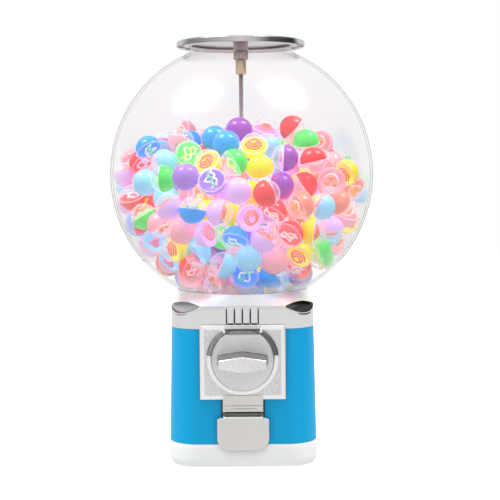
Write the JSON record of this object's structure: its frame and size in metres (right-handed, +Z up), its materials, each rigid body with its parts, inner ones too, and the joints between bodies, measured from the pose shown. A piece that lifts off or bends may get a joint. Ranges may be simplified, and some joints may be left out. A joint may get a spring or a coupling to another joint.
{
  "type": "capsule vending machine",
  "caption": "Crank-operated toy capsule machine: clear round globe on a blue square body with a chrome collar, coin handle and flap door.",
  "frame": {"origin": "on the ground under the centre rod, in the middle of the four feet", "axes": "+Z up along the centre rod, -Y out of the front with the handle and the door, +X to the right seen from the front"},
  "size_m": [0.32, 0.32, 0.5076],
  "materials": {
    "clear_plastic": "clear moulded polycarbonate",
    "chrome": "polished chrome plate",
    "lid_steel": "polished stainless steel",
    "cast_zinc": "satin plated zinc casting with a fine sandy grain",
    "steel": "zinc-plated steel",
    "brass": "satin brass",
    "blue_paint": "satin sky-blue powder coat",
    "white_plastic": "white moulded plastic",
    "mechanism_plastic": "off-white moulded plastic",
    "seal_rubber": "translucent white rubber",
    "foot_rubber": "black rubber",
    "capsules": "two-part toy capsules, one half clear and one half in pale or bright colours"
  },
  "bodies": {
    "cabinet": {"foot_tray": "white_plastic", "foot_1": "foot_rubber", "foot_2": "foot_rubber", "foot_3": "foot_rubber", "foot_4": "foot_rubber", "body_shell": "blue_paint", "collar": "chrome", "globe_gasket": "seal_rubber", "globe": "clear_plastic", "centre_rod": "steel", "rod_washer": "steel", "rod_nut": "steel", "capsule_load": "capsules", "wheel_pan": "mechanism_plastic", "capsule_guard": "steel", "guard_screw_1": "steel", "guard_screw_2": "steel", "drop_chute": "mechanism_plastic", "face_plate": "cast_zinc", "mechanism_housing": "steel", "housing_screw_1": "steel", "housing_screw_2": "steel", "housing_screw_3": "steel", "housing_screw_4": "steel", "ratchet_pin": "steel", "ratchet_spring": "steel", "coin_pin": "steel", "coin_spring": "steel", "chute_bezel": "cast_zinc", "door_pin": "steel"},
    "lid_assembly": {"lid": "lid_steel", "lid_seal": "seal_rubber", "lock_housing": "steel"},
    "lock_core": {"lock_plug": "steel", "lock_hex": "brass", "rod_coupler": "brass"},
    "handle_train": {"handle": "cast_zinc", "handle_shaft": "steel", "coin_carrier": "cast_zinc", "ratchet_wheel": "steel", "pinion_spacer": "brass", "drive_pinion": "mechanism_plastic", "shaft_nut": "steel"},
    "wheel": {"capsule_wheel": "mechanism_plastic", "agitator": "steel"},
    "door": {"chute_door": "cast_zinc"},
    "ratchet_lever": {"ratchet_pawl": "steel"},
    "coin_lever": {"coin_pawl": "steel"}
  },
  "joints": [
    {"name": "handle_turn", "type": "hinge", "parent": "cabinet", "child": "handle_train", "pos_m": [0, -0.09, 0.1305], "axis": [0, 1, 0], "continuous": true},
    {"name": "wheel_turn", "type": "hinge", "parent": "cabinet", "child": "wheel", "pos_m": [0, 0, 0.16], "axis": [0, 0, 1], "continuous": true},
    {"name": "door_swing", "type": "hinge", "parent": "cabinet", "child": "door", "pos_m": [0, -0.0912, 0.066], "axis": [-1, 0, 0], "range_deg": [0, 75]},
    {"name": "lid_lift", "type": "slide", "parent": "cabinet", "child": "lid_assembly", "axis": [0, 0, 1], "range_m": [0, 0.08]},
    {"name": "lock_turn", "type": "hinge", "parent": "lid_assembly", "child": "lock_core", "pos_m": [0, 0, 0.49], "axis": [0, 0, 1], "continuous": true},
    {"name": "ratchet_lift", "type": "hinge", "parent": "cabinet", "child": "ratchet_lever", "pos_m": [-0.0262, -0.08185, 0.12588], "axis": [0, -1, 0], "range_deg": [0, 10], "stiffness_Nm_per_rad": 0.02, "springref_deg": -11.46},
    {"name": "coin_lift", "type": "hinge", "parent": "cabinet", "child": "coin_lever", "pos_m": [0.02501, -0.08495, 0.11884], "axis": [0, 1, 0], "range_deg": [0, 10], "stiffness_Nm_per_rad": 0.02, "springref_deg": -11.46}
  ],
  "couplings": [
    {"joint": "wheel_turn", "follows": "handle_turn", "ratio": 0.16667}
  ]
}
